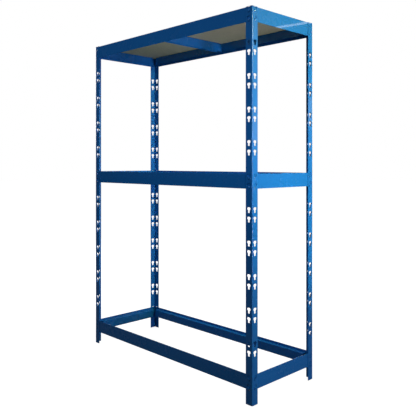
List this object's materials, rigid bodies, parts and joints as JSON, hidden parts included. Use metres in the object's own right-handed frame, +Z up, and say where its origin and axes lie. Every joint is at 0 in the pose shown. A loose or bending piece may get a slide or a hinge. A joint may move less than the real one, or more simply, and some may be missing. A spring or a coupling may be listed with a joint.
{
  "type": "tyre storage rack",
  "caption": "Free-standing boltless steel rack with open beam levels that cradle upright tyres and a chipboard deck on top; beams hook into keyhole posts.",
  "frame": {"origin": "centre of the footprint of the posts, on the floor", "axes": "+Z up along the posts, +X along the long beams to the right as seen from the front, +Y from the front to the rear"},
  "size_m": [1.2558, 0.4658, 1.78],
  "materials": {
    "post_paint": "glossy blue powder coat on bent sheet steel",
    "beam_paint": "glossy blue powder coat on roll-formed sheet steel",
    "rivet_paint": "blue powder coat over steel rivets, worn on the heads",
    "chipboard": "raw grey-beige chipboard"
  },
  "bodies": {
    "frame": {"front_left_post": "post_paint", "front_right_post": "post_paint", "rear_left_post": "post_paint", "rear_right_post": "post_paint", "top_front_beam": "beam_paint", "top_rear_beam": "beam_paint", "top_left_beam": "beam_paint", "top_right_beam": "beam_paint", "top_front_rivets": "rivet_paint", "top_rear_rivets": "rivet_paint", "top_left_rivets": "rivet_paint", "top_right_rivets": "rivet_paint", "tie_bar": "beam_paint"},
    "deck": {"deck_panel": "chipboard"},
    "middle_front": {"middle_front_beam": "beam_paint", "middle_front_rivets": "rivet_paint"},
    "middle_rear": {"middle_rear_beam": "beam_paint", "middle_rear_rivets": "rivet_paint"},
    "middle_left": {"middle_left_beam": "beam_paint", "middle_left_rivets": "rivet_paint"},
    "middle_right": {"middle_right_beam": "beam_paint", "middle_right_rivets": "rivet_paint"},
    "bottom_front": {"bottom_front_beam": "beam_paint", "bottom_front_rivets": "rivet_paint"},
    "bottom_rear": {"bottom_rear_beam": "beam_paint", "bottom_rear_rivets": "rivet_paint"},
    "bottom_left": {"bottom_left_beam": "beam_paint", "bottom_left_rivets": "rivet_paint"},
    "bottom_right": {"bottom_right_beam": "beam_paint", "bottom_right_rivets": "rivet_paint"}
  },
  "joints": [
    {"name": "deck_lift", "type": "slide", "parent": "frame", "child": "deck", "axis": [0, 0, 1], "range_m": [0, 0.15]},
    {"name": "middle_front_unhook", "type": "slide", "parent": "frame", "child": "middle_front", "axis": [0, 0, 1], "range_m": [0, 0.0134]},
    {"name": "middle_rear_unhook", "type": "slide", "parent": "frame", "child": "middle_rear", "axis": [0, 0, 1], "range_m": [0, 0.0134]},
    {"name": "middle_left_unhook", "type": "slide", "parent": "frame", "child": "middle_left", "axis": [0, 0, 1], "range_m": [0, 0.0134]},
    {"name": "middle_right_unhook", "type": "slide", "parent": "frame", "child": "middle_right", "axis": [0, 0, 1], "range_m": [0, 0.0134]},
    {"name": "bottom_front_unhook", "type": "slide", "parent": "frame", "child": "bottom_front", "axis": [0, 0, 1], "range_m": [0, 0.0134]},
    {"name": "bottom_rear_unhook", "type": "slide", "parent": "frame", "child": "bottom_rear", "axis": [0, 0, 1], "range_m": [0, 0.0134]},
    {"name": "bottom_left_unhook", "type": "slide", "parent": "frame", "child": "bottom_left", "axis": [0, 0, 1], "range_m": [0, 0.0134]},
    {"name": "bottom_right_unhook", "type": "slide", "parent": "frame", "child": "bottom_right", "axis": [0, 0, 1], "range_m": [0, 0.0134]}
  ]
}
